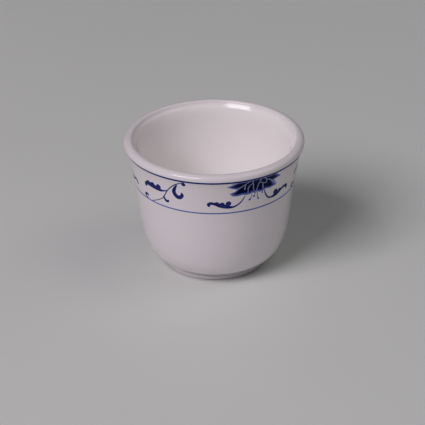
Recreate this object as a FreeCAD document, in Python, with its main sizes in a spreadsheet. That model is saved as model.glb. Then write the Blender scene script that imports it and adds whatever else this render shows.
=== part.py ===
"""Handleless porcelain tea cup with a blue lotus border between two lines under its lip.

Millimetres, +Z up, origin at the centre of the foot ring's resting plane, front towards -Y.
The clay and its glaze are turned sections. Every painted mark is a thin solid on the glaze:
a flat drawing pushed through the wall and kept where it meets the layer of paint.
Drawings are in degrees round the cup, from the front towards +X, and millimetres of height.
"""
import FreeCAD, Part
import math
import os
import Sketcher

DOC = FreeCAD.newDocument("teacup")
SHEET = DOC.addObject("Spreadsheet::Sheet", "Dimensions")

SIZES = {
    "glaze_thickness": 0.25,
    "paint_thickness": 0.12,
    "upper_line_height": 52.75,
    "upper_line_width": 1.1,
    "lower_line_height": 37.45,
    "lower_line_width": 0.7,
    "slab_radius": 50.0,
    "drawing_depth": 25.0,
    "drawing_reach": 17.0,
    "lotus_turn_1": 0.0,
    "lotus_turn_2": 118.0,
    "lotus_turn_3": 233.0,
    "scroll_turn_1": 0.0,
    "scroll_turn_2": 126.0,
    "scroll_turn_3": 243.0,
}
REPEATS = 3

# Points of the turned section: radius and height on the glaze's surface, then the
# direction in which the clay's surface lies under it.
OUTER_WALL = {
    "shoulder": (19.8, 2.5, -1.0, 0.8),
    "belly_low": (26.2, 4.4, -0.4, 0.9),
    "belly_high": (30.2, 13.7, -1.0, 0.3),
    "wall_low": (32.0, 30.5, -1.0, 0.1),
    "wall_high": (33.2, 39.1, -1.0, 0.1),
    "flare": (35.6, 51.5, -1.0, 0.2),
    "rim_under": (37.0, 53.0, -1.0, 0.1),
    "rim_side": (37.0, 53.6, -1.0, 0.0),
}
LIP = {
    "rim_side": OUTER_WALL["rim_side"],
    "lip_side": (37.0, 54.45, -1.0, -0.3),
    "lip_round": (36.55, 55.15, -0.8, -0.6),
    "lip_crest": (35.6, 55.7, -0.3, -1.0),
    "lip_crown": (34.4, 55.85, 0.0, -1.0),
    "lip_turn": (33.55, 55.5, 0.5, -0.9),
    "crease_over": (33.4, 54.75, 0.8, -0.6),
    "crease_under": (32.85, 54.15, 0.7, -0.7),
    "bevel_middle": (32.2, 53.4, 0.8, -0.6),
    "bevel_low": (31.8, 52.4, 0.95, -0.3),
    "throat": (31.5, 51.2, 1.0, 0.0),
}
INNER_WALL = {
    "throat": LIP["throat"],
    "throat_under": (31.2, 50.0, 1.0, 0.0),
    "inside_high": (30.3, 42.0, 1.0, -0.1),
    "inside_low": (28.6, 27.0, 1.0, -0.1),
    "inside_turn": (26.3, 8.6, 1.0, -0.5),
    "floor_edge": (18.5, 6.0, 0.2, -1.0),
    "floor_half": (9.0, 5.8, 0.0, -1.0),
    "floor_middle": (0.0, 5.8, 0.0, -1.0),
}
FOOT = {
    "foot_stop": (20.5, 0.5, -1.0, 0.0),
    "rest_outside": (19.8, 0.0, 0.0, 0.0),
    "rest_inside": (18.3, 0.0, 0.0, 0.0),
    "inner_stop": (17.7, 0.7, 1.0, 0.0),
    "recess_edge": (17.1, 2.3, 0.8, 1.0),
    "recess_middle": (0.0, 2.3, 0.0, 1.0),
}
POINTS = {**OUTER_WALL, **LIP, **INNER_WALL, **FOOT}

# A layer's depth under the glaze's surface: a number of thicknesses, and which thickness.
SURFACE = (0, "glaze_thickness")
CLAY = (1, "glaze_thickness")
PAINT = (-1, "paint_thickness")

CUBIC = 3
START_POINT, END_POINT, CENTRE_POINT = 1, 2, 3
SKETCH_ORIGIN = (-1, 1)
FULL_TURN = 360.0
UPRIGHT = FreeCAD.Rotation(FreeCAD.Vector(1, 0, 0), 90)
# A turn about the cup's axis by any angle: a turn by nothing would lose its axis.
SOME_TURN = FreeCAD.Rotation(FreeCAD.Vector(0, 0, 1), 10)

# The lotus hangs from the upper line: the edge of its pale wash, the edge of its dark
# petals, each a ring of (degrees, height), and the pale veins that part the petals.
LOTUS_MIDDLE = 28.0
WASH_EDGE = [
    (11.6, 52.3), (10.6, 51.2), (7.0, 50.5), (11.5, 49.3), (14.9, 48.6), (12.6, 47.6), (9.3, 47.1),
    (11.6, 45.5), (15.2, 45.2), (19.0, 45.6), (21.0, 45.0), (24.0, 45.3), (26.0, 45.7), (28.0, 45.2),
    (30.2, 45.6), (32.0, 45.0), (34.0, 45.0), (36.0, 45.9), (40.0, 45.6), (46.8, 46.0), (45.0, 47.5),
    (42.7, 49.2), (49.0, 49.8), (46.4, 50.9), (43.2, 52.3),
]
PETAL_EDGE = [
    (15.6, 52.3), (13.6, 51.6), (11.9, 50.8), (9.6, 50.3), (12.0, 49.6), (15.8, 49.2), (14.6, 47.9),
    (12.4, 46.9), (12.6, 46.0), (15.6, 45.8), (18.2, 46.2), (21.5, 46.1), (23.5, 45.9), (25.5, 46.5),
    (28.0, 46.0), (29.3, 46.5), (31.5, 45.8), (33.8, 46.2), (36.0, 46.6), (40.0, 46.2), (43.6, 46.3),
    (42.0, 47.5), (40.0, 49.3), (43.0, 49.6), (46.2, 50.1), (44.2, 51.0), (41.8, 52.3),
]
VEINS = [
    [(24.2, 52.6, 0.35), (20.5, 51.0, 0.4), (17.8, 49.8, 0.45), (14.6, 48.7, 0.5)],
    [(20.4, 50.8, 0.35), (20.1, 49.3, 0.4), (20.0, 48.5, 0.7)],
    [(25.4, 50.8, 0.35), (23.8, 49.9, 0.4), (22.7, 49.1, 0.45), (22.5, 47.6, 0.4), (22.8, 45.6, 0.5)],
    [(25.0, 52.6, 0.4), (25.3, 51.0, 0.4), (26.0, 49.6, 0.4), (26.2, 48.2, 0.4), (27.2, 46.6, 0.5),
     (28.1, 45.5, 0.7)],
    [(31.0, 52.6, 0.4), (30.6, 50.9, 0.4), (29.8, 49.6, 0.4), (29.4, 48.2, 0.4), (28.9, 46.9, 0.5),
     (28.2, 45.7, 0.6)],
    [(33.0, 52.6, 0.35), (35.2, 51.1, 0.4), (36.0, 50.0, 0.4), (35.7, 49.1, 0.4)],
    [(35.8, 49.1, 0.4), (33.4, 49.5, 0.35), (30.9, 50.4, 0.35)],
    [(35.2, 51.1, 0.35), (37.8, 50.4, 0.4), (41.0, 49.1, 0.5)],
    [(33.2, 49.5, 0.35), (33.5, 48.0, 0.5), (34.6, 45.6, 0.7)],
]

# Brush marks: the row of turns that a mark follows, its own middle, its strokes and its
# round lobes. A stroke is a row of (degrees, height, width), a lobe (degrees, height, radius).
MARKS = {
    "lotus_stamens": {
        "row": "lotus",
        "middle": LOTUS_MIDDLE,
        "strokes": [
            [(25.6, 45.2, 0.4), (25.6, 43.8, 0.4), (24.7, 42.9, 0.45)],
            [(28.2, 45.2, 0.4), (27.7, 44.2, 0.4)],
            [(29.8, 45.4, 0.4), (30.0, 43.8, 0.4), (30.7, 42.6, 0.45)],
            [(33.9, 45.3, 0.35), (33.9, 44.8, 0.4)],
        ],
        "lobes": [(24.4, 42.6, 0.55), (27.5, 43.8, 0.5), (31.0, 42.2, 0.5), (33.9, 44.6, 0.4)],
    },
    "lotus_left_leaf": {
        "row": "lotus",
        "middle": 8.0,
        "strokes": [[(20.6, 44.6, 0.45), (19.0, 42.9, 0.6), (17.0, 41.6, 0.7), (14.8, 40.7, 0.8),
                     (12.5, 40.2, 1.0), (10.2, 40.3, 1.4), (8.0, 40.6, 1.9), (5.5, 41.0, 2.1),
                     (3.0, 41.5, 2.0), (1.0, 42.0, 1.7), (-1.0, 42.3, 1.35), (-2.8, 42.5, 1.5),
                     (-4.2, 42.0, 1.5), (-4.1, 41.3, 1.2)]],
        "lobes": [(9.3, 42.1, 1.18), (5.0, 41.9, 1.0), (1.2, 42.2, 1.0)],
    },
    "lotus_right_leaf": {
        "row": "lotus",
        "middle": 48.0,
        "strokes": [[(35.6, 45.3, 0.5), (36.3, 44.0, 0.65), (37.5, 42.6, 0.7), (39.2, 41.3, 0.75),
                     (41.2, 40.6, 0.85), (43.6, 40.5, 1.1), (46.0, 40.8, 1.9), (48.5, 41.3, 2.1),
                     (51.0, 41.8, 1.8), (53.3, 42.2, 1.4), (55.5, 42.5, 1.3), (57.5, 42.5, 1.5),
                     (59.0, 41.9, 1.5), (59.0, 41.2, 1.2)]],
        "lobes": [(46.2, 42.4, 1.25), (50.2, 42.2, 0.85), (54.6, 42.6, 0.75)],
    },
    "scroll_vine": {
        "row": "scroll",
        "middle": -38.0,
        "strokes": [
            [(-20.5, 52.1, 0.45), (-24.5, 50.9, 0.55), (-28.0, 49.4, 0.55), (-31.0, 47.7, 0.5),
             (-33.5, 45.9, 0.5), (-35.3, 44.2, 0.5), (-37.0, 42.5, 0.45), (-39.3, 41.0, 0.4),
             (-42.5, 39.8, 0.4), (-46.0, 38.7, 0.4), (-49.5, 37.8, 0.4)],
            [(-36.9, 42.9, 0.5), (-37.0, 42.2, 0.8), (-36.6, 41.3, 1.1), (-35.6, 40.6, 1.25),
             (-34.5, 40.5, 1.25), (-33.8, 40.9, 1.0)],
            [(-33.6, 46.0, 0.45), (-35.5, 45.5, 0.65), (-37.8, 45.1, 0.95), (-40.0, 45.1, 1.6),
             (-43.0, 45.4, 2.2), (-46.5, 45.7, 2.5), (-50.0, 45.9, 2.4), (-52.3, 45.6, 1.8),
             (-53.8, 45.0, 1.6), (-54.2, 44.2, 1.3)],
        ],
        "lobes": [(-40.6, 46.5, 1.2), (-45.8, 46.5, 1.05), (-50.2, 46.4, 1.05)],
    },
    "scroll_tendril": {
        "row": "scroll",
        "middle": -25.0,
        "strokes": [[(-25.3, 50.0, 0.5), (-26.2, 49.2, 0.9), (-27.4, 47.9, 1.4), (-28.2, 46.5, 1.75),
                     (-27.6, 45.1, 1.95), (-26.0, 44.1, 2.1), (-24.3, 44.0, 1.9), (-22.9, 44.6, 1.7),
                     (-22.3, 45.4, 1.4), (-22.5, 46.1, 0.9)]],
        "lobes": [],
    },
    "scroll_root_leaf": {
        "row": "scroll",
        "middle": -55.0,
        "strokes": [[(-53.9, 39.5, 1.1), (-55.3, 39.8, 1.35), (-56.7, 39.4, 1.2), (-57.0, 38.8, 1.0),
                     (-56.0, 38.3, 0.8), (-54.4, 37.9, 0.6)]],
        "lobes": [],
    },
    "scroll_berry": {
        "row": "scroll",
        "middle": -20.0,
        "strokes": [[(-20.2, 51.4, 0.6), (-19.8, 52.1, 0.5)]],
        "lobes": [(-20.4, 51.05, 0.9)],
    },
}


def fill_sheet():
    cells = dict(SIZES)
    for name, (radius, height, _, _) in POINTS.items():
        cells[name + "_radius"] = radius
        cells[name + "_height"] = height
    for row, (alias, value) in enumerate(cells.items(), start=1):
        SHEET.set(f"A{row}", alias)
        SHEET.set(f"B{row}", str(value))
        SHEET.setAlias(f"B{row}", alias)
    DOC.recompute()


class Section:
    """A turned body: one sketch of half its section, revolved once round the cup's axis."""

    def __init__(self, name):
        self.body = DOC.addObject("PartDesign::Body", name)
        self.body.Label = name
        planes = self.body.Origin.OriginFeatures
        upright = next(plane for plane in planes if plane.Role == "XZ_Plane")
        self.sketch = self.body.newObject("Sketcher::SketchObject", name + "_section")
        self.sketch.AttachmentSupport = (upright, "")
        self.sketch.MapMode = "FlatFace"

    def place(self, point, layer):
        """Where a point lies on the glaze, on the clay under it, or on paint over it."""
        radius, height, inward, upward = POINTS[point]
        depth = layer[0] * SIZES[layer[1]]
        return FreeCAD.Vector(radius + depth * inward, height + depth * upward, 0)

    def bind(self, geometry, vertex, point, layer):
        """Tie a vertex of the sketch to the sheet's cells for a point of the section."""
        _, _, inward, upward = POINTS[point]
        place = self.place(point, layer)
        for kind, word, value, toward in (("DistanceX", "radius", place.x, inward),
                                          ("DistanceY", "height", place.y, upward)):
            distance = Sketcher.Constraint(kind, *SKETCH_ORIGIN, geometry, vertex, value)
            number = self.sketch.addConstraint(distance)
            formula = f"Dimensions.{point}_{word} + {layer[0] * toward} * Dimensions.{layer[1]}"
            self.sketch.setExpression(f"Constraints[{number}]", formula)

    def curve(self, points, layer):
        """A spline whose poles are points of the section."""
        poles = [self.place(point, layer) for point in points]
        shape = Part.BSplineCurve(poles, None, None, False, CUBIC, None, False)
        index = self.sketch.addGeometry(shape, False)
        self.sketch.exposeInternalGeometry(index)
        handles = [number for number, shape in enumerate(self.sketch.Geometry)
                   if number > index and isinstance(shape, Part.Circle)]
        for handle, point in zip(handles, points):
            self.bind(handle, CENTRE_POINT, point, layer)

    def lines(self, *corners):
        """Straight edges from corner to corner, each corner a point and its layer."""
        for start, end in zip(corners, corners[1:]):
            edge = Part.LineSegment(self.place(*start), self.place(*end))
            index = self.sketch.addGeometry(edge, False)
            self.bind(index, START_POINT, *start)
            self.bind(index, END_POINT, *end)

    def outline(self, layer):
        """The whole upper surface: up the outside, over the lip, down to the floor's middle."""
        for stretch in (OUTER_WALL, LIP, INNER_WALL):
            self.curve(stretch, layer)

    def turn(self):
        turned = self.body.newObject("PartDesign::Revolution", self.body.Name + "_turned")
        turned.Profile = self.sketch
        turned.ReferenceAxis = (self.sketch, ["V_Axis"])
        turned.Angle = FULL_TURN
        return self.body


def make_porcelain_body():
    section = Section("porcelain_body")
    section.outline(CLAY)
    section.lines(("floor_middle", CLAY), ("recess_middle", CLAY), ("recess_edge", CLAY))
    section.lines(("recess_edge", CLAY), ("inner_stop", CLAY), ("rest_inside", SURFACE))
    section.lines(("rest_inside", SURFACE), ("rest_outside", SURFACE))
    section.lines(("rest_outside", SURFACE), ("foot_stop", CLAY), ("shoulder", CLAY))
    return section.turn()


def make_glaze_coat():
    section = Section("glaze_coat")
    section.outline(SURFACE)
    section.outline(CLAY)
    section.lines(("floor_middle", SURFACE), ("floor_middle", CLAY))
    section.lines(("shoulder", CLAY), ("foot_stop", CLAY), ("foot_stop", SURFACE), ("shoulder", SURFACE))
    return section.turn()


def make_base_glaze():
    section = Section("base_glaze")
    section.lines(("recess_middle", SURFACE), ("recess_edge", SURFACE), ("inner_stop", SURFACE))
    section.lines(("inner_stop", SURFACE), ("inner_stop", CLAY))
    section.lines(("inner_stop", CLAY), ("recess_edge", CLAY), ("recess_middle", CLAY))
    section.lines(("recess_middle", CLAY), ("recess_middle", SURFACE))
    return section.turn()


def make_paint_layer():
    """The thin shell outside the glazed wall that every painted mark is cut from."""
    section = Section("paint_layer")
    section.curve(OUTER_WALL, SURFACE)
    section.curve(OUTER_WALL, PAINT)
    section.lines(("shoulder", SURFACE), ("shoulder", PAINT))
    section.lines(("rim_side", SURFACE), ("rim_side", PAINT))
    return section.turn()


def common(name, *shapes):
    piece = DOC.addObject("Part::MultiCommon", name)
    piece.Shapes = list(shapes)
    piece.Label = name
    return piece


def slab(name, bottom, thickness):
    """A level slice through the whole cup, with its bottom and thickness as formulas."""
    disc = DOC.addObject("Part::Cylinder", name)
    disc.setExpression("Radius", "Dimensions.slab_radius")
    disc.setExpression("Height", thickness)
    disc.setExpression("Placement.Base.z", bottom)
    return disc


def make_line(name, paint_layer):
    height, width = f"Dimensions.{name}_height", f"Dimensions.{name}_width"
    return common(name, paint_layer, slab(name + "_slab", f"{height} - {width} / 2", width))


def make_border_layer(paint_layer):
    """The paint layer between the two lines, where the lotus border is painted."""
    bottom = "(Dimensions.lower_line_height + Dimensions.lower_line_width / 2)"
    top = "(Dimensions.upper_line_height - Dimensions.upper_line_width / 2)"
    return common("border_layer", paint_layer, slab("border_slab", bottom, f"{top} - {bottom}"))


def flat(degrees, height, middle):
    """The drawing's point that lands at an angle and height once pushed through the wall."""
    low, high = POINTS["wall_high"], POINTS["flare"]
    radius = low[0] + (high[0] - low[0]) * (height - low[1]) / (high[1] - low[1])
    return FreeCAD.Vector(radius * math.sin(math.radians(degrees - middle)), height, 0)


def push(name, edges):
    """A flat drawing in front of the cup, pushed through its front wall."""
    sketch = DOC.addObject("Sketcher::SketchObject", name + "_drawing")
    sketch.Placement = FreeCAD.Placement(FreeCAD.Vector(), UPRIGHT)
    sketch.setExpression("Placement.Base.y", "-Dimensions.drawing_depth")
    for edge in edges:
        sketch.addGeometry(edge, False)
    prism = DOC.addObject("Part::Extrusion", name + "_prism")
    prism.Base = sketch
    prism.DirMode = "Custom"
    prism.Dir = FreeCAD.Vector(0, -1, 0)
    prism.setExpression("LengthFwd", "Dimensions.drawing_reach")
    prism.Solid = True
    return prism


def spline(points):
    curve = Part.BSplineCurve()
    curve.interpolate(points)
    return curve


def stroke_edges(dabs, middle):
    """The outline of a brush stroke: both sides of its path, and a round cap at each end."""
    path = [flat(degrees, height, middle) for degrees, height, _ in dabs]
    line = spline(path)
    sides = ([], [])
    for point, (_, _, width) in zip(path, dabs):
        tangent = line.tangent(line.parameter(point))[0]
        normal = FreeCAD.Vector(-tangent.y, tangent.x, 0) * (width / 2)
        sides[0].append(point + normal)
        sides[1].append(point - normal)
    edges = [spline(side) for side in sides]
    for end, inner in ((0, 1), (-1, -2)):
        outward = (path[end] - path[inner]).normalize() * (dabs[end][2] / 2)
        edges.append(Part.Arc(sides[0][end], path[end] + outward, sides[1][end]))
    return edges


def ring_edges(ring, middle):
    """A closed ring of straight edges."""
    corners = [flat(degrees, height, middle) for degrees, height in ring]
    return [Part.LineSegment(start, end) for start, end in zip(corners, corners[1:] + corners[:1])]


def fuse(name, prisms):
    if len(prisms) == 1:
        return prisms[0]
    joined = DOC.addObject("Part::MultiFuse", name)
    joined.Shapes = prisms
    return joined


def cut(name, base, tool):
    rest = DOC.addObject("Part::Cut", name)
    rest.Base = base
    rest.Tool = tool
    return rest


def make_flower(border_layer):
    """The dark petals, parted by their veins, and the pale wash round and between them."""
    veins = [push(f"vein_{number}", stroke_edges(dabs, LOTUS_MIDDLE))
             for number, dabs in enumerate(VEINS)]
    blot = push("petal_edge", ring_edges(PETAL_EDGE, LOTUS_MIDDLE))
    petals = cut("petal_prisms", blot, fuse("veins", veins))
    wash = cut("wash_prism", push("wash_edge", ring_edges(WASH_EDGE, LOTUS_MIDDLE)), petals)
    return common("petals_pattern", petals, border_layer), common("wash_pattern", wash, border_layer)


def make_brush_mark(name, drawing, border_layer):
    middle = drawing["middle"]
    prisms = [push(f"{name}_stroke_{number}", stroke_edges(dabs, middle))
              for number, dabs in enumerate(drawing["strokes"])]
    for number, (degrees, height, radius) in enumerate(drawing["lobes"]):
        circle = Part.Circle(flat(degrees, height, middle), FreeCAD.Vector(0, 0, 1), radius)
        prisms.append(push(f"{name}_lobe_{number}", [circle]))
    return common(name + "_pattern", fuse(name + "_fused", prisms), border_layer)


def repeat(name, pattern, middle, row):
    """Copies of one painted pattern round the cup, each a sub-part of its own."""
    copies = []
    for number in range(1, REPEATS + 1):
        copy = DOC.addObject("Part::Compound", f"{name}_{number}")
        copy.Label = copy.Name
        copy.Links = [pattern]
        copy.Placement = FreeCAD.Placement(FreeCAD.Vector(), SOME_TURN)
        angle = f"(Dimensions.{row}_turn_{number} + {middle}) * 1 deg"
        copy.setExpression("Placement.Rotation.Angle", angle)
        copies.append(copy)
    return copies


def make_border(border_layer):
    petals, wash = make_flower(border_layer)
    marks = repeat("lotus_petals", petals, LOTUS_MIDDLE, "lotus")
    marks += repeat("lotus_wash", wash, LOTUS_MIDDLE, "lotus")
    for name, drawing in MARKS.items():
        pattern = make_brush_mark(name, drawing, border_layer)
        marks += repeat(name, pattern, drawing["middle"], drawing["row"])
    return marks


def check_and_write(subparts):
    DOC.recompute()
    for item in DOC.Objects:
        if "Invalid" in item.State or "Error" in item.State:
            raise RuntimeError(f"{item.Name} failed: {item.State}")
    for item in subparts:
        if item.Shape.isNull() or not item.Shape.isValid() or item.Shape.Volume <= 0:
            raise RuntimeError(f"{item.Label} has no valid solid")
    os.makedirs("parts", exist_ok=True)
    for item in subparts:
        item.Shape.exportStep(f"parts/{item.Label}.step")
        print(f"{item.Label}: {len(item.Shape.Solids)} solids, {item.Shape.Volume:.2f} mm3")


fill_sheet()
PAINT_LAYER = make_paint_layer()
SUBPARTS = [make_porcelain_body(), make_glaze_coat(), make_base_glaze(),
            make_line("upper_line", PAINT_LAYER), make_line("lower_line", PAINT_LAYER)]
SUBPARTS += make_border(make_border_layer(PAINT_LAYER))
check_and_write(SUBPARTS)
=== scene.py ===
import bpy
import math
import numpy as np
from mathutils import Matrix, Vector


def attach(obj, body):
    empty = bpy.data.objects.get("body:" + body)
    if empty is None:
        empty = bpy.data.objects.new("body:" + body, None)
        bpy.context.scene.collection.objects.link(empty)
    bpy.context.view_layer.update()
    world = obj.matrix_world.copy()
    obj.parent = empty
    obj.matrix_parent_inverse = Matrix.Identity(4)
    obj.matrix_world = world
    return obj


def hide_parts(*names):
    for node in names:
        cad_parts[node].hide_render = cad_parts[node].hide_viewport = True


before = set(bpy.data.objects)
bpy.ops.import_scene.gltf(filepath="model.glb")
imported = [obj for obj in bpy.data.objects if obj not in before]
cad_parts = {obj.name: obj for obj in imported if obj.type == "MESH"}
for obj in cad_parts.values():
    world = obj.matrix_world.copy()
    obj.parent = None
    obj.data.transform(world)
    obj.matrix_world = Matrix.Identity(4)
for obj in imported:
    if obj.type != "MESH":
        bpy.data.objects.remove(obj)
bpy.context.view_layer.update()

# A handleless porcelain tea cup. Its outline and its painted border are written in
# millimetres and degrees round the cup, from the front (-Y) towards +X.
MM = 0.001

# Poles of the turned outline: radius and height on the glaze, and the way to the clay.
OUTER_WALL = [
    (19.8, 2.5, -1.0, 0.8), (26.2, 4.4, -0.4, 0.9), (30.2, 13.7, -1.0, 0.3), (32.0, 30.5, -1.0, 0.1),
    (33.2, 39.1, -1.0, 0.1), (35.6, 51.5, -1.0, 0.2), (37.0, 53.0, -1.0, 0.1), (37.0, 53.6, -1.0, 0.0),
]
LIP = [
    (37.0, 53.6, -1.0, 0.0), (37.0, 54.45, -1.0, -0.3), (36.55, 55.15, -0.8, -0.6),
    (35.6, 55.7, -0.3, -1.0), (34.4, 55.85, 0.0, -1.0), (33.55, 55.5, 0.5, -0.9),
    (33.4, 54.75, 0.8, -0.6), (32.85, 54.15, 0.7, -0.7), (32.2, 53.4, 0.8, -0.6),
    (31.8, 52.4, 0.95, -0.3), (31.5, 51.2, 1.0, 0.0),
]
INNER_WALL = [
    (31.5, 51.2, 1.0, 0.0), (31.2, 50.0, 1.0, 0.0), (30.3, 42.0, 1.0, -0.1), (28.6, 27.0, 1.0, -0.1),
    (26.3, 8.6, 1.0, -0.5), (18.5, 6.0, 0.2, -1.0), (9.0, 5.8, 0.0, -1.0), (0.0, 5.8, 0.0, -1.0),
]
GLAZE_THICKNESS = 0.25
GLAZE_STOP = (20.5, 0.5)                 # where the glaze ends on the foot ring, and clay begins
FOOT_EDGE = [
    (20.25, 0.5), (20.1, 0.2), (19.8, 0.0), (19.3, 0.0),
    (18.7, 0.0), (18.1, 0.0), (17.95, 0.3), (17.95, 0.7),
]
RECESS = [(17.7, 0.7), (17.5, 1.4), (17.3, 2.3), (16.2, 2.3), (9.0, 2.3), (0.0, 2.3)]
SEGMENTS = 256
GLAZE_RINGS = (90, 50, 60)               # rings along the outer wall, the lip and the inner wall
CLAY_RINGS = (50, 24, 40)
WALL_SAMPLES = 400
SHARP_ANGLE = 35.0
ON_AXIS = 1e-6                           # a ring of a smaller radius is one corner on the axis
LIP_CROWN, LIP_INSIDE = 35.0, 32.0       # radii between which the glaze's tone turns to the painted light of the bowl

# How far the fired cup is out of round: an oval, and a three-lobed warp that turns with height.
OVAL_WARP, OVAL_PHASE = 0.05, 0.7
LOBED_WARP, LOBED_PHASE, LOBED_TWIST = 0.02, -1.1, 9.0
FULL_WARP_RADIUS = 20.0

# The border's drawing. A stroke is a row of (degrees, height, width), a lobe (degrees, height,
# radius), and a ring a closed row of (degrees, height).
LOTUS_TURNS = (0.0, 118.0, 233.0)
SCROLL_TURNS = (0.0, 126.0, 243.0)
WASH_EDGE = [
    (11.6, 52.3), (10.6, 51.2), (7.0, 50.5), (11.5, 49.3), (14.9, 48.6), (12.6, 47.6), (9.3, 47.1),
    (11.6, 45.5), (15.2, 45.2), (19.0, 45.6), (21.0, 45.0), (24.0, 45.3), (26.0, 45.7), (28.0, 45.2),
    (30.2, 45.6), (32.0, 45.0), (34.0, 45.0), (36.0, 45.9), (40.0, 45.6), (46.8, 46.0), (45.0, 47.5),
    (42.7, 49.2), (49.0, 49.8), (46.4, 50.9), (43.2, 52.3),
]
PETAL_EDGE = [
    (15.6, 52.3), (13.6, 51.6), (11.9, 50.8), (9.6, 50.3), (12.0, 49.6), (15.8, 49.2), (14.6, 47.9),
    (12.4, 46.9), (12.6, 46.0), (15.6, 45.8), (18.2, 46.2), (21.5, 46.1), (23.5, 45.9), (25.5, 46.5),
    (28.0, 46.0), (29.3, 46.5), (31.5, 45.8), (33.8, 46.2), (36.0, 46.6), (40.0, 46.2), (43.6, 46.3),
    (42.0, 47.5), (40.0, 49.3), (43.0, 49.6), (46.2, 50.1), (44.2, 51.0), (41.8, 52.3),
]
VEINS = [
    [(24.2, 52.6, 0.35), (20.5, 51.0, 0.4), (17.8, 49.8, 0.45), (14.6, 48.7, 0.5)],
    [(20.4, 50.8, 0.35), (20.1, 49.3, 0.4), (20.0, 48.5, 0.7)],
    [(25.4, 50.8, 0.35), (23.8, 49.9, 0.4), (22.7, 49.1, 0.45), (22.5, 47.6, 0.4), (22.8, 45.6, 0.5)],
    [(25.0, 52.6, 0.4), (25.3, 51.0, 0.4), (26.0, 49.6, 0.4), (26.2, 48.2, 0.4), (27.2, 46.6, 0.5),
     (28.1, 45.5, 0.7)],
    [(31.0, 52.6, 0.4), (30.6, 50.9, 0.4), (29.8, 49.6, 0.4), (29.4, 48.2, 0.4), (28.9, 46.9, 0.5),
     (28.2, 45.7, 0.6)],
    [(33.0, 52.6, 0.35), (35.2, 51.1, 0.4), (36.0, 50.0, 0.4), (35.7, 49.1, 0.4)],
    [(35.8, 49.1, 0.4), (33.4, 49.5, 0.35), (30.9, 50.4, 0.35)],
    [(35.2, 51.1, 0.35), (37.8, 50.4, 0.4), (41.0, 49.1, 0.5)],
    [(33.2, 49.5, 0.35), (33.5, 48.0, 0.5), (34.6, 45.6, 0.7)],
]
BRUSH_MARKS = {
    "lotus_stamens": {
        "turns": LOTUS_TURNS,
        "strokes": [
            [(25.6, 45.2, 0.4), (25.6, 43.8, 0.4), (24.7, 42.9, 0.45)],
            [(28.2, 45.2, 0.4), (27.7, 44.2, 0.4)],
            [(29.8, 45.4, 0.4), (30.0, 43.8, 0.4), (30.7, 42.6, 0.45)],
            [(33.9, 45.3, 0.35), (33.9, 44.8, 0.4)],
        ],
        "lobes": [(24.4, 42.6, 0.55), (27.5, 43.8, 0.5), (31.0, 42.2, 0.5), (33.9, 44.6, 0.4)],
    },
    "lotus_left_leaf": {
        "turns": LOTUS_TURNS,
        "strokes": [[(20.6, 44.6, 0.45), (19.0, 42.9, 0.6), (17.0, 41.6, 0.7), (14.8, 40.7, 0.8),
                     (12.5, 40.2, 1.0), (10.2, 40.3, 1.4), (8.0, 40.6, 1.9), (5.5, 41.0, 2.1),
                     (3.0, 41.5, 2.0), (1.0, 42.0, 1.7), (-1.0, 42.3, 1.35), (-2.8, 42.5, 1.5),
                     (-4.2, 42.0, 1.5), (-4.1, 41.3, 1.2)]],
        "lobes": [(9.3, 42.1, 1.18), (5.0, 41.9, 1.0), (1.2, 42.2, 1.0)],
    },
    "lotus_right_leaf": {
        "turns": LOTUS_TURNS,
        "strokes": [[(35.6, 45.3, 0.5), (36.3, 44.0, 0.65), (37.5, 42.6, 0.7), (39.2, 41.3, 0.75),
                     (41.2, 40.6, 0.85), (43.6, 40.5, 1.1), (46.0, 40.8, 1.9), (48.5, 41.3, 2.1),
                     (51.0, 41.8, 1.8), (53.3, 42.2, 1.4), (55.5, 42.5, 1.3), (57.5, 42.5, 1.5),
                     (59.0, 41.9, 1.5), (59.0, 41.2, 1.2)]],
        "lobes": [(46.2, 42.4, 1.25), (50.2, 42.2, 0.85), (54.6, 42.6, 0.75)],
    },
    "scroll_vine": {
        "turns": SCROLL_TURNS,
        "strokes": [
            [(-20.5, 52.1, 0.45), (-24.5, 50.9, 0.55), (-28.0, 49.4, 0.55), (-31.0, 47.7, 0.5),
             (-33.5, 45.9, 0.5), (-35.3, 44.2, 0.5), (-37.0, 42.5, 0.45), (-39.3, 41.0, 0.4),
             (-42.5, 39.8, 0.4), (-46.0, 38.7, 0.4), (-49.5, 37.8, 0.4)],
            [(-36.9, 42.9, 0.5), (-37.0, 42.2, 0.8), (-36.6, 41.3, 1.1), (-35.6, 40.6, 1.25),
             (-34.5, 40.5, 1.25), (-33.8, 40.9, 1.0)],
            [(-33.6, 46.0, 0.45), (-35.5, 45.5, 0.65), (-37.8, 45.1, 0.95), (-40.0, 45.1, 1.6),
             (-43.0, 45.4, 2.2), (-46.5, 45.7, 2.5), (-50.0, 45.9, 2.4), (-52.3, 45.6, 1.8),
             (-53.8, 45.0, 1.6), (-54.2, 44.2, 1.3)],
        ],
        "lobes": [(-40.6, 46.5, 1.2), (-45.8, 46.5, 1.05), (-50.2, 46.4, 1.05)],
    },
    "scroll_tendril": {
        "turns": SCROLL_TURNS,
        "strokes": [[(-25.3, 50.0, 0.5), (-26.2, 49.2, 0.9), (-27.4, 47.9, 1.4), (-28.2, 46.5, 1.75),
                     (-27.6, 45.1, 1.95), (-26.0, 44.1, 2.1), (-24.3, 44.0, 1.9), (-22.9, 44.6, 1.7),
                     (-22.3, 45.4, 1.4), (-22.5, 46.1, 0.9)]],
        "lobes": [],
    },
    "scroll_root_leaf": {
        "turns": SCROLL_TURNS,
        "strokes": [[(-53.9, 39.5, 1.1), (-55.3, 39.8, 1.35), (-56.7, 39.4, 1.2), (-57.0, 38.8, 1.0),
                     (-56.0, 38.3, 0.8), (-54.4, 37.9, 0.6)]],
        "lobes": [],
    },
    "scroll_berry": {
        "turns": SCROLL_TURNS,
        "strokes": [[(-20.2, 51.4, 0.6), (-19.8, 52.1, 0.5)]],
        "lobes": [(-20.4, 51.05, 0.9)],
    },
}
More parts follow.
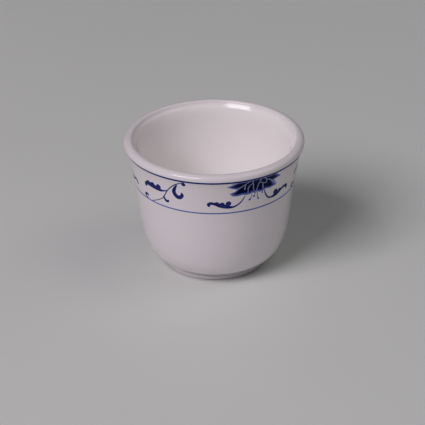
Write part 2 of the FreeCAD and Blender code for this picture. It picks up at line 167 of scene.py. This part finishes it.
LOTUS_ROOT = (28.0, 54.0)
UPPER_LINE = {"height": 52.75, "width": 1.1, "tint": 0.92}
LOWER_LINE = {"height": 37.45, "width": 0.75, "tint": 0.49}
LINE_RINGS = 9               # rings across a line
LINE_FADE = 0.6              # the share of a line's half width over which it reaches its tint

GIRTH_PER_DEGREE = 0.6       # millimetres along the wall, at the border's mean radius
PATH_STEPS = 8               # steps along a stroke from one given dab to the next
PAINT_CELL = 0.12            # the grid that painted marks are meshed on
OFF_EDGE = 0.0015            # a grid corner nearer than this to a mark's edge is moved off it
PAINT_SUNK = 0.05
PAINT_PROUD = 0.02
THIN_EDGE = 0.5              # the share of that height at a mark's very edge
EDGE_START = -0.05           # where a mark's tint begins, outside its edge,
EDGE_FADE = 0.14             # and how far in from the edge it is full
MARK_TINT, STAMEN_TINT = 0.84, 0.6

PETAL_FADE = 0.9             # how far in from the petals' edge they reach their darkest
PETAL_TINTS = (0.5, 1.2)     # at that edge, and that far in
VEIN_FADE = 0.12             # the same, away from a vein
VEIN_SIDE_TINTS = (0.8, 1.2)
VEIN_TRIM = 0.02             # how much narrower a vein is on each side than its stroke
VEIN_TINTS = (0.25, 0.39)    # in its upper and its lower part
VEIN_TURN = (49.0, 46.0)     # the heights between which it goes from one to the other
WASH_FADE = 0.2              # how far in from its own edge the wash is full
WASH_REACH = 0.9             # how far out from the petals' edge it has thinned
WASH_TINTS = (0.36, 0.64)    # that far out, and at the petals' edge
FINE_STREAKS, BROAD_STREAKS, STREAK_SWAY = 37, 23, 11
STREAK_DEPTH = 0.2


# ---------------------------------------------------------------- the turned pieces

def spline(poles, count):
    """Points along a clamped, uniform cubic spline."""
    poles = np.array(poles, float)
    spans = len(poles) - 3
    knots = np.concatenate([np.zeros(3), np.linspace(0, 1, spans + 1), np.ones(3)])
    at = np.linspace(0, 1, count)[:, None]
    span = np.clip((at * spans).astype(int), 0, spans - 1)
    number = np.arange(len(knots) - 1)[None, :]
    basis = (number == span + 3).astype(float)
    for degree in (1, 2, 3):
        left, right = knots[:-degree - 1], knots[degree + 1:]
        lower = np.divide(at - left, knots[degree:-1] - left, out=np.zeros((count, len(left))),
                          where=knots[degree:-1] > left)
        upper = np.divide(right - at, right - knots[1:-degree], out=np.zeros((count, len(left))),
                          where=right > knots[1:-degree])
        basis = lower * basis[:, :-1] + upper * basis[:, 1:]
    return basis @ poles


def upper_surface(depth, counts):
    """The outline from the foot's top, over the lip, to the middle of the floor inside."""
    stretches = []
    for poles, count in zip((OUTER_WALL, LIP, INNER_WALL), counts):
        poles = np.array(poles)
        stretches.append(spline(poles[:, :2] + depth * poles[:, 2:], count))
    return np.concatenate([stretches[0], stretches[1][1:], stretches[2][1:]])


def wobble(angle, height):
    """The slight unevenness of a cup jiggered and fired by the dozen, in millimetres."""
    oval = OVAL_WARP * np.sin(2 * angle + OVAL_PHASE)
    return oval + LOBED_WARP * np.sin(3 * angle + LOBED_PHASE + height / LOBED_TWIST)


def in_space(radius, angle, height):
    """Cylinder coordinates in millimetres, angle from the front, to metres in the row frame."""
    radius = radius + wobble(angle, height) * np.clip(radius / FULL_WARP_RADIUS, 0, 1)
    return np.stack([radius * np.sin(angle), -radius * np.cos(angle), height], -1) * MM


def finish_mesh(name, corners, faces, material):
    """A piece with smooth shading, riding on the cup's one body."""
    mesh = bpy.data.meshes.new(name)
    mesh.from_pydata([tuple(corner) for corner in corners], [], faces)
    mesh.validate()
    mesh.shade_smooth()
    mesh.set_sharp_from_angle(angle=math.radians(SHARP_ANGLE))
    mesh.materials.append(material)
    piece = bpy.data.objects.new(name, mesh)
    bpy.context.scene.collection.objects.link(piece)
    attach(piece, "root")
    return piece


def note_on_corners(piece, name, values):
    """Store a number on each corner of a piece, for its material to read."""
    layer = piece.data.attributes.new(name, "FLOAT", "POINT")
    layer.data.foreach_set("value", np.asarray(values, np.float32))


def ring_corners(radius, height):
    """The corners of one ring round the cup."""
    angle = np.arange(SEGMENTS) * (2 * math.pi / SEGMENTS)
    return in_space(np.full(SEGMENTS, radius), angle, np.full(SEGMENTS, height))


def turned(name, outline, material):
    """A solid of revolution whose outline runs from the axis back to the axis."""
    corners, rings = [], []
    for radius, height in outline:
        if radius < ON_AXIS:
            rings.append([len(corners)] * SEGMENTS)
            corners.append((0, 0, height * MM))
        else:
            rings.append(list(range(len(corners), len(corners) + SEGMENTS)))
            corners.extend(ring_corners(radius, height))
    faces = []
    for ring, following in zip(rings, rings[1:]):
        for number in range(SEGMENTS):
            after = (number + 1) % SEGMENTS
            face = (ring[number], following[number], following[after], ring[after])
            faces.append(tuple(dict.fromkeys(face)))
    return finish_mesh(name, corners, faces, material)


def bowl_painted_light_share(surface, count):
    """Painted bowl light, from 0 outside to 1 in the bowl, passing over the lip; 0 for the rest of the
    outline.
    """
    inner = np.arange(len(surface)) > surface[:, 1].argmax()
    side = np.where(inner, ease(LIP_CROWN, LIP_INSIDE, surface[:, 0]), 0.0)
    return np.concatenate([side[::-1], np.zeros(count - len(surface))])


def make_glaze_coat(material):
    """The glaze from the foot ring over the lip to the bowl's floor, ending in a soft roll."""
    surface = upper_surface(0.0, GLAZE_RINGS)
    clay = upper_surface(GLAZE_THICKNESS, CLAY_RINGS)
    radius, height = GLAZE_STOP
    stop = [GLAZE_STOP, (radius - GLAZE_THICKNESS / 2, height - GLAZE_THICKNESS / 3),
            (radius - GLAZE_THICKNESS, height)]
    outline = np.concatenate([surface[::-1], stop, clay])
    piece = turned("fired_glaze_coat", outline, material)
    corners_per_ring = np.where(outline[:, 0] < ON_AXIS, 1, SEGMENTS)
    # Each corner's share of the bowl's painted light, for the glaze material to read.
    note_on_corners(piece, "inside", np.repeat(bowl_painted_light_share(surface, len(outline)), corners_per_ring))
    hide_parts("glaze_coat")


def clay_recess():
    """The clay's own outline in the foot ring's recess, out to in, under the base glaze."""
    inward = [(radius + GLAZE_THICKNESS, height + GLAZE_THICKNESS) for radius, height in RECESS[1:-1]]
    return inward + [(0.0, RECESS[-1][1] + GLAZE_THICKNESS)]


def make_porcelain_body(material):
    clay = upper_surface(GLAZE_THICKNESS, CLAY_RINGS)
    outline = np.concatenate([clay[::-1], FOOT_EDGE, clay_recess()])
    piece = turned("bare_porcelain_body", outline, material)
    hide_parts("porcelain_body")


def make_base_glaze(material):
    rim = (RECESS[0][0] + GLAZE_THICKNESS, RECESS[0][1])
    piece = turned("fired_base_glaze", clay_recess()[::-1] + [rim] + RECESS, material)
    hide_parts("base_glaze")


# ---------------------------------------------------------------- the painted border

WALL = spline(np.array(OUTER_WALL)[:, :2], WALL_SAMPLES)


def wall_radius(height):
    return np.interp(height, WALL[:, 1], WALL[:, 0])


def on_wall(marks):
    """Degrees and heights to millimetres on the unrolled wall."""
    marks = np.array(marks, float)
    marks[:, 0] *= GIRTH_PER_DEGREE
    return marks


def smooth_path(dabs):
    """More dabs between those given, on a curve that passes through them all."""
    dabs = on_wall(dabs)
    padded = np.concatenate([[2 * dabs[0] - dabs[1]], dabs, [2 * dabs[-1] - dabs[-2]]])
    path = []
    for number in range(len(dabs) - 1):
        before, start, end, after = padded[number:number + 4]
        for along in np.arange(PATH_STEPS) / PATH_STEPS:
            path.append(0.5 * (2 * start + (end - before) * along
                               + (2 * before - 5 * start + 4 * end - after) * along ** 2
                               + (3 * start - before - 3 * end + after) * along ** 3))
    return np.array(path + [dabs[-1]])


def stroke_field(places, dabs):
    """Distance from a brush stroke's edge, negative inside it."""
    path = smooth_path(dabs)
    nearest = np.full(places.shape[:-1], np.inf)
    for start, end in zip(path, path[1:]):
        step = end[:2] - start[:2]
        along = np.clip(((places - start[:2]) @ step) / max(step @ step, 1e-9), 0, 1)
        away = np.linalg.norm(places - start[:2] - along[..., None] * step, axis=-1)
        nearest = np.minimum(nearest, away - (start[2] + along * (end[2] - start[2])) / 2)
    return nearest


def lobe_field(places, lobe):
    lobe = on_wall([lobe])[0]
    return np.linalg.norm(places - lobe[:2], axis=-1) - lobe[2]


def ring_field(places, ring):
    """Distance from a closed ring's edge, negative inside it."""
    corners = on_wall(ring)
    nearest = np.full(places.shape[:-1], np.inf)
    inside = np.zeros(places.shape[:-1], bool)
    for start, end in zip(corners, np.roll(corners, -1, axis=0)):
        step, offset = end - start, places - start
        along = np.clip((offset @ step) / (step @ step), 0, 1)
        nearest = np.minimum(nearest, np.linalg.norm(offset - along[..., None] * step, axis=-1))
        crosses = (start[1] > places[..., 1]) != (end[1] > places[..., 1])
        rise = step[1] if abs(step[1]) > 1e-9 else 1e-9
        inside ^= crosses & (offset[..., 0] < offset[..., 1] * step[0] / rise)
    return np.where(inside, -nearest, nearest)


def ease(low, high, value):
    """A smooth step from 0 at low to 1 at high, which may be the smaller of the two."""
    value = np.clip((value - low) / (high - low), 0, 1)
    return value * value * (3 - 2 * value)


def mix(ends, share):
    return ends[0] + (ends[1] - ends[0]) * share


def grid_over(marks, margin=1.2):
    """A grid of places on the unrolled wall that covers some marks, kept between the lines."""
    marks = on_wall([mark[:2] for mark in marks])
    low, high = marks.min(0) - margin, marks.max(0) + margin
    low[1] = max(low[1], LOWER_LINE["height"] + LOWER_LINE["width"] / 2)
    high[1] = min(high[1], UPPER_LINE["height"] - UPPER_LINE["width"] / 2)
    counts = np.ceil((high - low) / PAINT_CELL).astype(int) + 1
    across, up = (np.linspace(low[axis], high[axis], counts[axis]) for axis in (0, 1))
    return np.stack(np.meshgrid(across, up), -1)


def outline_cells(field):
    """Faces over the cells of a grid where a field is negative, cut along its zero line.

    Gives the faces, and each corner as (row, column, next row, next column, share)."""
    corners, index, faces = [], {}, []

    def corner(start, end, share):
        key = (start, end)
        if key not in index:
            index[key] = len(corners)
            corners.append((*start, *end, share))
        return index[key]

    rows, columns = field.shape
    some = np.minimum.reduce([field[:-1, :-1], field[1:, :-1], field[:-1, 1:], field[1:, 1:]]) < 0
    for row, column in zip(*np.nonzero(some)):
        loop = [(row, column), (row, column + 1), (row + 1, column + 1), (row + 1, column)]
        face = []
        for start, end in zip(loop, loop[1:] + loop[:1]):
            here, there = field[start], field[end]
            if here < 0:
                face.append(corner(start, start, 0.0))
            if (here < 0) != (there < 0):
                first, last = sorted((start, end))
                face.append(corner(first, last, field[first] / (field[first] - field[last])))
        if len(face) >= 3:
            faces.append(face)
    return faces, np.array(corners, float)


def between(values, corners):
    """Grid values read at the corners of the cut cells."""
    start = values[corners[:, 0].astype(int), corners[:, 1].astype(int)]
    end = values[corners[:, 2].astype(int), corners[:, 3].astype(int)]
    share = corners[:, 4].reshape((-1,) + (1,) * (values.ndim - 2))
    return start + share * (end - start)


def paint(name, turns, places, field, tint, material):
    """A painted mark as thin solids let into the glaze, one for each turn round the cup."""
    field = np.where(np.abs(field) < OFF_EDGE, OFF_EDGE, field)
    faces, corners = outline_cells(field)
    girth, height = between(places, corners).T
    depth = -between(field, corners)
    shade = between(tint, corners)
    count = len(corners)
    edges = {}
    for face in faces:
        for start, end in zip(face, face[1:] + face[:1]):
            edges[(start, end)] = (end, start) not in edges
            if not edges[(start, end)]:
                edges[(end, start)] = False
    rim = [edge for edge, is_open in edges.items() if is_open]
    sides = [(end, start, start + count, end + count) for start, end in rim]
    back = [tuple(number + count for number in reversed(face)) for face in faces]
    radius = wall_radius(height)
    proud = radius + PAINT_PROUD * mix((THIN_EDGE, 1.0), ease(0.0, EDGE_FADE, depth))
    sunk = radius - PAINT_SUNK
    for number, turn in enumerate(turns, start=1):
        angle = np.radians(girth / GIRTH_PER_DEGREE + turn)
        solid = np.concatenate([in_space(proud, angle, height), in_space(sunk, angle, height)])
        piece = finish_mesh(f"painted_{name}_{number}", solid, faces + back + sides, material)
        note_on_corners(piece, "tint", np.concatenate([shade, shade]))
        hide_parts(f"{name}_{number}")


def make_brush_mark(name, mark, material):
    every = [dab for dabs in mark["strokes"] for dab in dabs] + mark["lobes"]
    places = grid_over(every)
    fields = [stroke_field(places, dabs) for dabs in mark["strokes"]]
    fields += [lobe_field(places, lobe) for lobe in mark["lobes"]]
    field = np.minimum.reduce(fields)
    if name == "lotus_stamens":
        slot, full_tint = "line_blue", STAMEN_TINT
    else:
        slot, full_tint = "cobalt", MARK_TINT
    tint = ease(EDGE_START, EDGE_FADE, -field) * full_tint
    paint(name, mark["turns"], places, field, tint, material)


def make_flower(material):
    """Dark petals with pale veins between them, and a wash that fades out to the tips."""
    places = grid_over(WASH_EDGE, margin=0.3)
    petal_edge, wash_edge = ring_field(places, PETAL_EDGE), ring_field(places, WASH_EDGE)
    veins = np.minimum.reduce([stroke_field(places, dabs) for dabs in VEINS]) + VEIN_TRIM
    petals = np.maximum(petal_edge, -veins)
    wash = np.maximum(wash_edge, -petals)
    dark = np.minimum(mix(PETAL_TINTS, ease(0.0, PETAL_FADE, -petal_edge)),
                      mix(VEIN_SIDE_TINTS, ease(0.0, VEIN_FADE, veins)))
    from_root = places - on_wall([LOTUS_ROOT])[0]
    bearing = np.arctan2(from_root[..., 0], -from_root[..., 1])
    fine = np.sin(FINE_STREAKS * bearing + 3 * np.sin(STREAK_SWAY * bearing))
    streaks = 1 - STREAK_DEPTH + STREAK_DEPTH * fine * np.sin(BROAD_STREAKS * bearing + 1.0)
    pale = ease(0.0, WASH_FADE, -wash_edge) * streaks
    pale *= mix(WASH_TINTS, ease(WASH_REACH, 0.0, petal_edge))
    pale = np.where(veins < 0, mix(VEIN_TINTS, ease(*VEIN_TURN, places[..., 1])), pale)
    paint("lotus_petals", LOTUS_TURNS, places, petals, dark, material)
    paint("lotus_wash", LOTUS_TURNS, places, wash, pale, material)


def make_line(name, line, material):
    """A line drawn round the cup on the wheel, soft along both edges."""
    half = line["width"] / 2
    across = np.linspace(-half, half, LINE_RINGS)
    height = line["height"] + across
    proud = wall_radius(height) + PAINT_PROUD
    sunk = wall_radius(height) - PAINT_SUNK
    loop = list(zip(proud, height)) + list(zip(sunk, height))[::-1]
    shade = ease(EDGE_START, half * LINE_FADE, half - np.abs(across)) * line["tint"]
    shade = np.concatenate([shade, shade[::-1]])
    corners = np.concatenate([ring_corners(radius, level) for radius, level in loop])
    faces = []
    for ring in range(len(loop)):
        above = (ring + 1) % len(loop)
        for number in range(SEGMENTS):
            after = (number + 1) % SEGMENTS
            faces.append((ring * SEGMENTS + number, ring * SEGMENTS + after,
                          above * SEGMENTS + after, above * SEGMENTS + number))
    piece = finish_mesh("painted_" + name, corners, faces, material)
    note_on_corners(piece, "tint", np.repeat(shade, SEGMENTS))
    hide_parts(name)


# ---------------------------------------------------------------- materials

class Nodes:
    """A material under construction, with short ways to add and join its nodes."""

    def __init__(self, name):
        self.material = bpy.data.materials.new(name)
        self.material.use_nodes = True
        self.tree = self.material.node_tree
        self.shader = self.tree.nodes["Principled BSDF"]
        self.place = self.add("ShaderNodeTexCoord").outputs["Object"]

    def add(self, kind, **settings):
        node = self.tree.nodes.new(kind)
        for name, value in settings.items():
            setattr(node, name, value)
        return node

    def join(self, output, socket):
        self.tree.links.new(output, socket)

    def noise(self, size, detail=3.0):
        """Noise whose features are about one size across, in metres."""
        node = self.add("ShaderNodeTexNoise")
        node.inputs["Scale"].default_value = 1 / size
        node.inputs["Detail"].default_value = detail
        self.join(self.place, node.inputs["Vector"])
        return node.outputs["Fac"]

    def ramp(self, value, stops):
        node = self.add("ShaderNodeValToRGB")
        elements = node.color_ramp.elements
        while len(elements) < len(stops):
            elements.new(0.5)
        for element, (position, colour) in zip(elements, stops):
            element.position = position
            element.color = (*colour, 1.0)
        self.join(value, node.inputs["Fac"])
        return node.outputs["Color"]

    def to_range(self, value, low, high):
        """A value from 0 to 1, spread from low to high."""
        node = self.add("ShaderNodeMapRange")
        node.inputs["To Min"].default_value = low
        node.inputs["To Max"].default_value = high
        self.join(value, node.inputs["Value"])
        return node.outputs["Result"]

    def attribute(self, name):
        """A number that the mesh stores on its corners."""
        return self.add("ShaderNodeAttribute", attribute_name=name).outputs["Fac"]

    def combine(self, operation, first, second):
        node = self.add("ShaderNodeMath", operation=operation)
        self.join(first, node.inputs[0])
        self.join(second, node.inputs[1])
        return node.outputs["Value"]

    def bump(self, value, height):
        node = self.add("ShaderNodeBump")
        node.inputs["Distance"].default_value = height
        node.inputs["Strength"].default_value = 1.0
        self.join(value, node.inputs["Height"])
        self.join(node.outputs["Normal"], self.shader.inputs["Normal"])

    def set(self, **sockets):
        for name, value in sockets.items():
            self.shader.inputs[name.replace("_", " ")].default_value = value


# Sizes and heights of the materials' texture are in metres.
# The bowl's tone is painted light: lighter and warmer than the outside's, for the brighter light that
# fills the bowl.
GLAZE_OUTSIDE = (0.80, 0.752, 0.782)
GLAZE_INSIDE_PAINTED_LIGHT = (0.95, 0.92, 0.915)
GLAZE_MOTTLE, GLAZE_MOTTLE_SIZE = 0.012, 0.03        # how much its tone comes and goes
GLAZE_ROUGHNESS, GLAZE_PATCH_SIZE = (0.05, 0.10), 0.006
GLAZE_RIPPLE, GLAZE_RIPPLE_SIZE = 0.000006, 0.0025
COBALT_MOTTLE, COBALT_MOTTLE_SIZE = (0.72, 1.24), 0.0016
COBALT_SPECULAR = 0.03                               # it lies deep in the glaze and hardly shines
COBALT_TONES = [                                     # from bare glaze to the thickest paint
    (0.0, GLAZE_OUTSIDE), (0.2, (0.38, 0.43, 0.66)), (0.45, (0.09, 0.13, 0.42)),
    (0.75, (0.025, 0.033, 0.19)), (1.0, (0.001, 0.003, 0.035)),
]
CLAY_TONES = [(0.3, (0.66, 0.62, 0.57)), (0.7, (0.76, 0.73, 0.69))]
CLAY_ROUGHNESS, CLAY_GRAIN, CLAY_GRAIN_SIZE = 0.75, 0.00003, 0.0006
FLOOR_TONES = [(0.3, (0.70, 0.725, 0.70)), (0.7, (0.73, 0.755, 0.73))]
FLOOR_ROUGHNESS, FLOOR_PATCH_SIZE = 0.55, 0.2


def glaze_finish(nodes):
    """The glossy, very slightly rippled surface that glaze and cobalt share."""
    nodes.set(IOR=1.5)
    roughness = nodes.to_range(nodes.noise(GLAZE_PATCH_SIZE), *GLAZE_ROUGHNESS)
    nodes.join(roughness, nodes.shader.inputs["Roughness"])
    nodes.bump(nodes.noise(GLAZE_RIPPLE_SIZE, detail=2.0), GLAZE_RIPPLE)


def glaze_material(name):
    """White glaze; its tone is painted lighter and warmer in the bowl than on the outside, standing in
    for the brighter light inside.
    """
    nodes = Nodes(name)
    mottle = nodes.to_range(nodes.noise(GLAZE_MOTTLE_SIZE, detail=2.0), -GLAZE_MOTTLE, GLAZE_MOTTLE)
    side = nodes.combine("ADD", nodes.attribute("inside"), mottle)
    tone = nodes.ramp(side, [(0.0, GLAZE_OUTSIDE), (1.0, GLAZE_INSIDE_PAINTED_LIGHT)])
    nodes.join(tone, nodes.shader.inputs["Base Color"])
    glaze_finish(nodes)
    return nodes.material


def cobalt_material():
    """Cobalt in the glaze: the mesh's tint says how thick it lies."""
    nodes = Nodes("cobalt_in_glaze")
    mottle = nodes.to_range(nodes.noise(COBALT_MOTTLE_SIZE, detail=4.0), *COBALT_MOTTLE)
    thickness = nodes.combine("MULTIPLY", nodes.attribute("tint"), mottle)
    nodes.join(nodes.ramp(thickness, COBALT_TONES), nodes.shader.inputs["Base Color"])
    glaze_finish(nodes)
    nodes.set(Specular_IOR_Level=COBALT_SPECULAR)
    return nodes.material


def clay_material():
    """The foot ring's bare clay, faintly grainy."""
    nodes = Nodes("bare_porcelain")
    grain = nodes.noise(CLAY_GRAIN_SIZE, detail=5.0)
    nodes.join(nodes.ramp(grain, CLAY_TONES), nodes.shader.inputs["Base Color"])
    nodes.set(Roughness=CLAY_ROUGHNESS)
    nodes.bump(grain, CLAY_GRAIN)
    return nodes.material


def floor_material():
    nodes = Nodes("pale_floor")
    tone = nodes.ramp(nodes.noise(FLOOR_PATCH_SIZE), FLOOR_TONES)
    nodes.join(tone, nodes.shader.inputs["Base Color"])
    nodes.set(Roughness=FLOOR_ROUGHNESS)
    return nodes.material


# ---------------------------------------------------------------- the studio

CAMERA_BACK, CAMERA_HEIGHT = 1.1664, 0.6341
CAMERA_TILT, CAMERA_PAN, CAMERA_ROLL = 27.743, -0.049, -0.612
CAMERA_LENS, CAMERA_SENSOR = 270.0, 36.0
CAMERA_REACH = (0.05, 20.0)
FLOOR_REACH = 3.0
CUP_MIDDLE = (0.0, 0.0, 0.035)
# Each softbox: its place and size in metres, its power in watts and its colour.
SOFTBOXES = {
    "key": ((-1.045, -1.160, 1.542), (1.1, 1.0), 28.0, (1.0, 0.925, 0.98)),
    "right_fill": ((1.8, 0.3, 1.3), (1.2, 1.2), 0.4, (1.0, 0.97, 0.94)),
    "top_fill": ((0.9, -0.1, 1.5), (1.0, 1.0), 3.4, (1.0, 0.97, 0.94)),
}
WORLD_COLOUR, WORLD_STRENGTH = (0.92, 0.94, 1.0, 1.0), 0.08


def make_camera():
    data = bpy.data.cameras.new("camera")
    data.lens = CAMERA_LENS
    data.sensor_width = CAMERA_SENSOR
    data.clip_start, data.clip_end = CAMERA_REACH
    camera = bpy.data.objects.new("camera", data)
    turn = (Matrix.Rotation(math.radians(-CAMERA_PAN), 4, "Z")
            @ Matrix.Rotation(math.radians(90 - CAMERA_TILT), 4, "X")
            @ Matrix.Rotation(math.radians(CAMERA_ROLL), 4, "Z"))
    camera.matrix_world = Matrix.Translation((0.0, -CAMERA_BACK, CAMERA_HEIGHT)) @ turn
    bpy.context.scene.collection.objects.link(camera)
    bpy.context.scene.camera = camera


def make_softbox(name, place, size, power, colour):
    """A soft rectangular light that faces the cup."""
    data = bpy.data.lights.new(name, "AREA")
    data.shape = "RECTANGLE"
    data.size, data.size_y = size
    data.energy = power
    data.color = colour
    light = bpy.data.objects.new(name, data)
    light.location = place
    light.rotation_euler = (Vector(CUP_MIDDLE) - Vector(place)).to_track_quat("-Z", "Y").to_euler()
    bpy.context.scene.collection.objects.link(light)


def make_studio():
    mesh = bpy.data.meshes.new("floor")
    turns = ((-1, -1), (1, -1), (1, 1), (-1, 1))
    mesh.from_pydata([(x * FLOOR_REACH, y * FLOOR_REACH, 0) for x, y in turns], [], [(0, 1, 2, 3)])
    mesh.materials.append(floor_material())
    floor = bpy.data.objects.new("floor", mesh)
    bpy.context.scene.collection.objects.link(floor)
    for name, softbox in SOFTBOXES.items():
        make_softbox(name, *softbox)
    world = bpy.data.worlds.new("studio")
    world.use_nodes = True
    background = world.node_tree.nodes["Background"]
    background.inputs["Color"].default_value = WORLD_COLOUR
    background.inputs["Strength"].default_value = WORLD_STRENGTH
    bpy.context.scene.world = world
    bpy.context.scene.view_settings.view_transform = "Standard"


# ---------------------------------------------------------------- building it all

make_camera()
make_studio()
GLAZE = glaze_material("clear_glaze_on_white")
COBALT = cobalt_material()
make_glaze_coat(GLAZE)
make_porcelain_body(clay_material())
make_base_glaze(GLAZE)
make_line("upper_line", UPPER_LINE, COBALT)
make_line("lower_line", LOWER_LINE, COBALT)
make_flower(COBALT)
for mark_name, brush_mark in BRUSH_MARKS.items():
    make_brush_mark(mark_name, brush_mark, COBALT)
